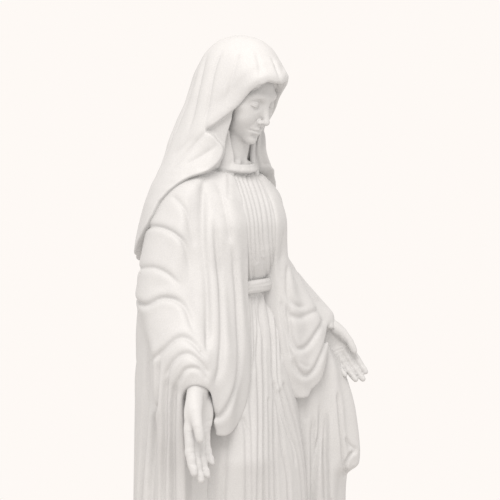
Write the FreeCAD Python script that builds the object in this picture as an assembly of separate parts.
"""Standing madonna figure in white marble, built up from carved blocks.

Frame: millimetres, +Z up, origin at the centre of the plinth's underside.
The figure faces -Y, so its own right hand is on the -X side.

The gown is the load-bearing core: a skirt block standing on the plinth and a bodice block above it,
meeting in a bed joint at the waist that the belt covers. The mantle is three blocks set round that core
(back, right, left) and a falling tail on the left. The head and neck are one block with a tenon that
drops into the bodice, and the veil block closes over it. The hands are carved apart and pinned into the
sleeves. Stainless pins set in slightly larger drilled holes carry every joint.
"""
import FreeCAD, Part
import math
import os

V = FreeCAD.Vector

# ---------------------------------------------------------------- driving dimensions, mm
TOTAL_H = 1700.0          # plinth underside to the crown of the veil
PLINTH_H = 90.0
PLINTH_W, PLINTH_D = 560.0, 500.0
PLINTH_CY = 4.0           # plinth centre, slightly behind the figure's axis
PLINTH_CORNER = 60.0
PLINTH_CHAMFER = 14.0

WAIST_Z = 1122.0          # bed joint between skirt and bodice
BELT_H = 34.0             # visible height of the belt
BELT_T = 9.0              # how far the belt stands proud of the waist
NECK_R = 47.0
TENON_R, TENON_L = 34.0, 46.0
JOINT_GAP = 1.0           # mortar bed between neighbouring blocks

HEAD_C = (0.0, -52.0, 1570.0)
HEAD_R = (67.0, 83.0, 101.0)
HEAD_TILT = 24.0          # degrees the head bows forward
VEIL_WALL = 15.0
BODY_GAP = 5.0            # room under the cape of the veil

PIN_R = 6.0               # hand and veil pins
DOWEL_R = 8.0             # structural dowels
GROUT = 1.0               # resin space round each pin

R_WRIST, R_TIP = (-228.0, -126.0, 925.0), (-256.0, -164.0, 743.0)
L_WRIST, L_TIP = (240.0, -98.0, 1028.0), (291.0, -151.0, 880.0)

# ellipse sections (z, centre x, centre y, radius x, radius y)
SKIRT = [(90, 0, -16, 198, 180), (300, 0, -16, 182, 165), (600, 0, -12, 168, 149), (850, 0, -8, 150, 124),
         (1000, 0, -4, 131, 105), (1084, 0, -1, 118, 93), (1122, 0, 0, 116, 91)]
BODICE = [(1122, 0, 0, 116, 91), (1152, 0, 0, 117, 92), (1210, 0, -3, 133, 103), (1290, 0, -5, 147, 108),
          (1345, 0, 2, 150, 88), (1380, 0, 8, 92, 66), (1396, 0, 8, 60, 54)]
MANTLE = [(90, 0, 22, 232, 196), (300, 0, 20, 232, 190), (600, 0, 18, 232, 182), (850, 0, 16, 230, 176),
          (1000, 0, 14, 228, 170), (1112, 0, 12, 224, 162), (1250, 0, 12, 212, 144), (1345, 0, 12, 186, 114),
          (1384, 0, 12, 108, 82), (1396, 0, 12, 80, 66)]
FRONT = [(780, 0, -2, 282, 176), (950, 0, -2, 278, 174), (1112, 0, 2, 256, 158), (1250, 0, 4, 218, 134),
         (1345, 0, 10, 188, 110), (1384, 0, 12, 108, 80), (1394, 0, 12, 84, 66)]
VEIL = [(1160, 0, 18, 244, 178), (1300, 0, 24, 218, 154), (1380, 0, 30, 166, 128), (1440, 0, 22, 122, 114),
        (1500, 0, 4, 106, 112), (1550, 0, -14, 101, 115), (1600, 0, -30, 92, 120), (1645, 0, -38, 74, 98),
        (1678, 0, -40, 48, 64), (1694, 0, -40, 24, 32), (1700, 0, -40, 9, 12)]


# ---------------------------------------------------------------- helpers
def ellipse(z, cx, cy, rx, ry):
    rx, ry = max(rx, 1.0), max(ry, 1.0)
    if rx >= ry:
        e = Part.Ellipse(V(cx, cy, z), rx, ry)
    else:
        e = Part.Ellipse(V(cx, cy + ry, z), V(cx - rx, cy, z), V(cx, cy, z))
    n = 48
    pts = [V(cx + rx * math.cos(2 * math.pi * i / n), cy + ry * math.sin(2 * math.pi * i / n), z) for i in range(n)]
    curve = Part.BSplineCurve()
    curve.interpolate(Points=pts, PeriodicFlag=True)
    return Part.Wire([curve.toShape()])


def faired(sections, spacing=95.0):
    """The same shape as a table of sections at an even spacing, by monotone cubic interpolation, so that a loft through it can't swell or pinch."""
    z = [s[0] for s in sections]
    n = len(z)
    if n < 3:
        return list(sections)
    columns = []
    for k in range(1, 5):
        v = [s[k] for s in sections]
        d = [(v[i + 1] - v[i]) / (z[i + 1] - z[i]) for i in range(n - 1)]
        m = [d[0]] + [0.0 if d[i - 1] * d[i] <= 0 else 2 * d[i - 1] * d[i] / (d[i - 1] + d[i]) for i in range(1, n - 1)] + [d[-1]]
        columns.append((v, m))
    rows = []
    for i in range(n - 1):
        h = z[i + 1] - z[i]
        pieces = max(1, int(round(h / spacing)))
        for j in range(pieces + (1 if i == n - 2 else 0)):
            t = j / pieces
            a, b, c, e = 2 * t**3 - 3 * t**2 + 1, t**3 - 2 * t**2 + t, -2 * t**3 + 3 * t**2, t**3 - t**2
            rows.append((z[i] + t * h, *[a * v[i] + b * h * m[i] + c * v[i + 1] + e * h * m[i + 1] for v, m in columns]))
    return rows


def loft(sections, grow=0.0):
    return Part.makeLoft([ellipse(z, cx, cy, rx + grow, ry + grow) for z, cx, cy, rx, ry in faired(sections)], True, False)


def cyl(a, b, r):
    a, b = V(*a), V(*b)
    d = b - a
    return Part.makeCylinder(r, d.Length, a, d)


def ball(c, r):
    return Part.makeSphere(r, V(*c))


def box(lo, hi):
    return Part.makeBox(hi[0] - lo[0], hi[1] - lo[1], hi[2] - lo[2], V(*lo))


def prism_xz(points, y0, y1):
    wire = Part.makePolygon([V(x, y0, z) for x, z in points] + [V(points[0][0], y0, points[0][1])])
    return Part.Face(wire).extrude(V(0, y1 - y0, 0))


def prism_yz(points, x0, x1):
    wire = Part.makePolygon([V(x0, y, z) for y, z in points] + [V(x0, points[0][0], points[0][1])])
    return Part.Face(wire).extrude(V(x1 - x0, 0, 0))


def largest(shape):
    solids = sorted(shape.Solids, key=lambda s: -s.Volume)
    return solids[0]


def blend(a, b, t):
    return tuple(a[i] + (b[i] - a[i]) * t for i in range(3))


def step(a, d, length):
    n = math.sqrt(sum(x * x for x in d))
    return tuple(a[i] + d[i] / n * length for i in range(3))


parts = {}

# ---------------------------------------------------------------- core blocks
plinth = box((-PLINTH_W / 2, PLINTH_CY - PLINTH_D / 2, 0), (PLINTH_W / 2, PLINTH_CY + PLINTH_D / 2, PLINTH_H))
upright = [e for e in plinth.Edges if abs(e.Vertexes[0].Point.x - e.Vertexes[1].Point.x) < 1e-6
           and abs(e.Vertexes[0].Point.y - e.Vertexes[1].Point.y) < 1e-6]
plinth = plinth.makeFillet(PLINTH_CORNER, upright)
top_edges = [e for e in plinth.Edges if all(abs(v.Point.z - PLINTH_H) < 1e-6 for v in e.Vertexes)]
plinth = plinth.makeChamfer(PLINTH_CHAMFER, top_edges)

skirt = loft(SKIRT)
bodice = loft(BODICE)
skirt = skirt.common(box((-400, -400, PLINTH_H + JOINT_GAP), (400, 400, WAIST_Z - JOINT_GAP / 2)))
bodice = bodice.common(box((-400, -400, WAIST_Z + JOINT_GAP / 2), (400, 400, 1400)))
core_grown = loft(SKIRT, JOINT_GAP).fuse(loft(BODICE, JOINT_GAP))

belt = loft([(WAIST_Z - BELT_H / 2, 0, 0, 119 + BELT_T, 94 + BELT_T), (WAIST_Z + BELT_H / 2, 0, 0, 119 + BELT_T, 94 + BELT_T)])
belt = belt.cut(loft([(WAIST_Z - BELT_H, 0, 0, 119.5, 94.5), (WAIST_Z + BELT_H, 0, 0, 119.5, 94.5)]))
belt_zone = loft([(WAIST_Z - BELT_H / 2 - 1, 0, 0, 120 + BELT_T, 95 + BELT_T), (WAIST_Z + BELT_H / 2 + 1, 0, 0, 120 + BELT_T, 95 + BELT_T)])
belt_bed = belt_zone.cut(loft([(WAIST_Z - BELT_H, 0, 0, 119.0, 94.0), (WAIST_Z + BELT_H, 0, 0, 119.0, 94.0)]))
skirt = largest(skirt.cut(belt_bed))
bodice = largest(bodice.cut(belt_bed))

collar = loft([(1384, 0, 6, 64, 58), (1400, 0, 4, 58, 54), (1408, 0, 2, 55, 52)])
collar = collar.cut(cyl((0, 4, 1370), (0, 4, 1420), NECK_R + 1.0))
collar = largest(collar.cut(loft(BODICE, 0.8)))

# ---------------------------------------------------------------- head, neck and veil
head = Part.makeSphere(1.0)
m = FreeCAD.Matrix()
m.scale(*HEAD_R)
head = head.transformGeometry(m)
head.rotate(V(0, 0, 0), V(1, 0, 0), HEAD_TILT)
head.translate(V(*HEAD_C))
neck = cyl((0, 4, 1396.5), (0, -30, 1530), NECK_R - 4)
neck = neck.fuse(cyl((0, 4, 1397), (0, 4, 1440), NECK_R - 2))
tenon = cyl((0, 6, 1396 - TENON_L), (0, 6, 1404), TENON_R)
head_solid = head.fuse(neck).fuse(tenon)
head_solid = largest(head_solid.common(box((-300, -300, 1300), (300, 300, 1720))))
bodice = bodice.cut(cyl((0, 6, 1396 - TENON_L - 1), (0, 6, 1420), TENON_R + 0.6))

veil_outer = loft(VEIL)
# the front of the hood and the slanting lower hem of the cape, seen from the side
opening = prism_yz([(-420, 1150), (-420, 1626), (-176, 1626), (-150, 1606), (-112, 1556), (-74, 1500), (-52, 1462),
                    (-58, 1420), (-72, 1392), (-30, 1366), (40, 1318), (110, 1262), (190, 1216), (420, 1216), (420, 1150)], -400, 400)
veil = veil_outer.cut(opening)
cavity = loft([(z, cx, cy, rx - VEIL_WALL, ry - VEIL_WALL) for z, cx, cy, rx, ry in VEIL[2:9]])
cavity = cavity.common(box((-300, -400, 1380), (300, -6, 1690)))
veil = veil.cut(cavity)
head_room = Part.makeSphere(1.0)
m = FreeCAD.Matrix()
m.scale(*[r + 1.5 for r in HEAD_R])
head_room = head_room.transformGeometry(m)
head_room.rotate(V(0, 0, 0), V(1, 0, 0), HEAD_TILT)
head_room.translate(V(*HEAD_C))
veil = veil.cut(head_room)
veil = veil.cut(cyl((0, 4, 1370), (0, 4, 1445), NECK_R + 19))
veil = veil.cut(cyl((0, 4, 1400), (0, -30, 1540), NECK_R + 1))
body_room = loft([s for s in MANTLE if s[0] >= 1112], BODY_GAP)
veil = largest(veil.cut(body_room))

# ---------------------------------------------------------------- mantle
opening_front = prism_xz([(-34, 1420), (34, 1420), (40, 1300), (52, 1120), (60, 1000), (96, 860), (128, 700), (150, 400), (158, 60),
                          (-158, 60), (-150, 400), (-128, 700), (-80, 860), (-44, 960), (-46, 1120), (-40, 1300)], -420, -1)
mantle = loft(MANTLE).cut(core_grown).cut(belt_zone).cut(opening_front)
mantle = mantle.cut(cyl((0, 4, 1370), (0, 4, 1440), NECK_R + 19))
mantle = mantle.common(box((-400, -400, PLINTH_H + JOINT_GAP), (400, 400, 1400)))

# front panels that hang from shoulder and forearm to a deep curved hem
panel_r = prism_xz([(-38, 1392), (-44, 1120), (-42, 960), (-62, 876), (-110, 828), (-160, 834), (-196, 880), (-214, 905),
                    (-262, 905), (-272, 1000), (-262, 1120), (-214, 1320), (-120, 1392)], -200, -1)
panel_l = prism_xz([(38, 1392), (50, 1120), (56, 1010), (84, 930), (130, 878), (180, 880), (216, 930), (236, 1000),
                    (278, 1020), (276, 1080), (258, 1150), (214, 1320), (120, 1392)], -200, -1)
front = loft(FRONT)
panels = front.common(panel_r.fuse(panel_l)).cut(core_grown).cut(belt_zone)
panels = panels.cut(cyl((0, 4, 1370), (0, 4, 1440), NECK_R + 19))
mantle = mantle.fuse(panels)

SPLIT_Y = 34.0            # joint between the back block and the side blocks
back = largest(mantle.common(box((-400, SPLIT_Y + JOINT_GAP, 0), (400, 400, 1500))))
right = largest(mantle.common(box((-400, -400, 0), (-0.5, SPLIT_Y, 1500))))
left_all = largest(mantle.common(box((0.5, -400, 0), (400, SPLIT_Y, 1500))))
TAIL_Z = 868.0            # joint hidden under the left front panel
left = left_all
tail_zone = box((0.5, -400, 0), (400, SPLIT_Y, TAIL_Z))
tail = largest(left_all.common(tail_zone))
left = largest(left_all.cut(box((0.5, -400, 0), (400, SPLIT_Y, TAIL_Z + JOINT_GAP))))


# ---------------------------------------------------------------- hands
def hand(wrist, tip, side):
    """Open hand, palm forward. side is -1 for the figure's right and +1 for its left."""
    w, t = V(*wrist), V(*tip)
    down = (t - w).normalize()
    across = down.cross(V(0, 1, 0)).normalize()
    if across.x * side < 0:
        across = across * -1
    normal = across.cross(down).normalize()

    def at(a, d, n):
        p = w + across * a + down * d + normal * n
        return (p.x, p.y, p.z)

    s = cyl(at(0, -6, 0), at(0, 34, 0), 22.0)
    s = s.fuse(cyl(at(0, 34, 0), at(0, 62, 0), 22.0))
    for a in (-24.0, -8.0, 8.0, 24.0):
        s = s.fuse(cyl(at(a * 0.6, 30, 0), at(a, 102, 0), 12.5))
    lengths = {-27.0: 158.0, -9.5: 176.0, 9.0: 170.0, 26.0: 152.0}
    for a, reach in lengths.items():
        s = s.fuse(cyl(at(a * 0.9, 96, 0), at(a * 1.12, reach - 8, 0), 8.0)).fuse(ball(at(a * 1.12, reach - 8, 0), 8.0))
    s = s.fuse(cyl(at(side * 14, 48, 0), at(side * 46, 92, -6), 10.5)).fuse(cyl(at(side * 46, 92, -6), at(side * 50, 122, -6), 9.0))
    s = s.fuse(ball(at(side * 46, 92, -6), 10.5)).fuse(ball(at(side * 50, 122, -6), 9.0))
    return s, at


hand_r, at_r = hand(R_WRIST, R_TIP, -1)
hand_l, at_l = hand(L_WRIST, L_TIP, 1)
room_r = cyl(at_r(0, -8, 0), at_r(0, 34, 0), 24.0).fuse(cyl(at_r(0, 30, 0), at_r(0, 200, 0), 66.0))
room_l = cyl(at_l(0, -8, 0), at_l(0, 34, 0), 24.0).fuse(cyl(at_l(0, 30, 0), at_l(0, 200, 0), 66.0))

# sleeves gather round each wrist
cuff_r = cyl(at_r(0, -150, 0), at_r(0, 22, 0), 46.0)
cuff_r = cyl((-218, 6, 1100), R_WRIST, 50.0).fuse(ball(R_WRIST, 50.0)).fuse(ball((-218, 6, 1100), 50.0))
cuff_l = cyl((222, 12, 1130), L_WRIST, 48.0).fuse(ball(L_WRIST, 48.0)).fuse(ball((222, 12, 1130), 48.0))
side_zone_r = box((-400, -400, 91), (-0.5, SPLIT_Y, 1500))
side_zone_l = box((0.5, -400, TAIL_Z + JOINT_GAP), (400, SPLIT_Y, 1500))
right = right.fuse(cuff_r.common(side_zone_r).cut(core_grown).cut(belt_zone))
left = left.fuse(cuff_l.common(side_zone_l).cut(core_grown).cut(belt_zone))
right = largest(right.cut(room_r))
left = largest(left.cut(room_l))
tail = largest(tail.cut(room_l))


# ---------------------------------------------------------------- pins and dowels
def pinned(a, b, r, *blocks):
    """A pin from a to b, and the same blocks drilled for it with room for resin."""
    hole = cyl(step(a, [a[i] - b[i] for i in range(3)], 2.0), step(b, [b[i] - a[i] for i in range(3)], 2.0), r + GROUT)
    return cyl(a, b, r), [s.cut(hole) for s in blocks]


pin_r, (hand_r, right) = pinned(at_r(0, 40, 0), at_r(0, -55, 0), PIN_R, hand_r, right)
pin_l, (hand_l, left) = pinned(at_l(0, 40, 0), at_l(0, -55, 0), PIN_R, hand_l, left)
neck_pin, (head_solid, bodice) = pinned((0, 6, 1290), (0, 4, 1445), DOWEL_R, head_solid, bodice)
waist = []
for x in (-58.0, 58.0):
    pin, (skirt, bodice) = pinned((x, 0, WAIST_Z - 75), (x, 0, WAIST_Z + 75), DOWEL_R, skirt, bodice)
    waist.append(pin)
foot = []
for x in (-95.0, 95.0):
    pin, (plinth, skirt) = pinned((x, -16, 28), (x, -16, 178), DOWEL_R, plinth, skirt)
    foot.append(pin)
back_pins = []
for z in (320.0, 760.0, 1200.0):
    pin, (skirt, bodice, back) = pinned((0, 60, z), (0, 140, z), PIN_R, skirt, bodice, back)
    back_pins.append(pin)
right_pins, left_pins = [], []
for z in (320.0, 760.0, 1190.0):
    pin, (skirt, bodice, right) = pinned((-95, 10, z), (-195, 10, z), PIN_R, skirt, bodice, right)
    right_pins.append(pin)
pin, (bodice, left) = pinned((95, 10, 1190), (195, 10, 1190), PIN_R, bodice, left)
left_pins.append(pin)
tail_pins = []
for z in (320.0, 760.0):
    pin, (skirt, tail) = pinned((95, 10, z), (195, 10, z), PIN_R, skirt, tail)
    tail_pins.append(pin)
veil_pins = []
for x in (-88.0, 88.0):
    pin, (veil, back) = pinned((x, 92, 1300), (x, 92, 1392), PIN_R, veil, back)
    veil_pins.append(pin)

parts = {
    "plinth": plinth, "gown_skirt": skirt, "gown_bodice": bodice, "belt": belt, "collar": collar,
    "head_and_neck": head_solid, "veil": veil, "mantle_back": back, "mantle_right": right, "mantle_left": left,
    "mantle_left_tail": tail, "right_hand": hand_r, "left_hand": hand_l,
    "right_hand_pin": pin_r, "left_hand_pin": pin_l, "neck_dowel": neck_pin,
    "waist_dowels": Part.makeCompound(waist), "plinth_dowels": Part.makeCompound(foot),
    "mantle_back_pins": Part.makeCompound(back_pins), "mantle_right_pins": Part.makeCompound(right_pins),
    "mantle_left_pin": left_pins[0], "tail_pins": Part.makeCompound(tail_pins), "veil_pins": Part.makeCompound(veil_pins),
}

os.makedirs("parts", exist_ok=True)
for name, shape in parts.items():
    solids = shape.Solids
    print(name, "solids", len(solids), "valid", shape.isValid(), "litres", round(sum(s.Volume for s in solids) / 1e6, 3))
    shape.exportStep("parts/" + name + ".step")
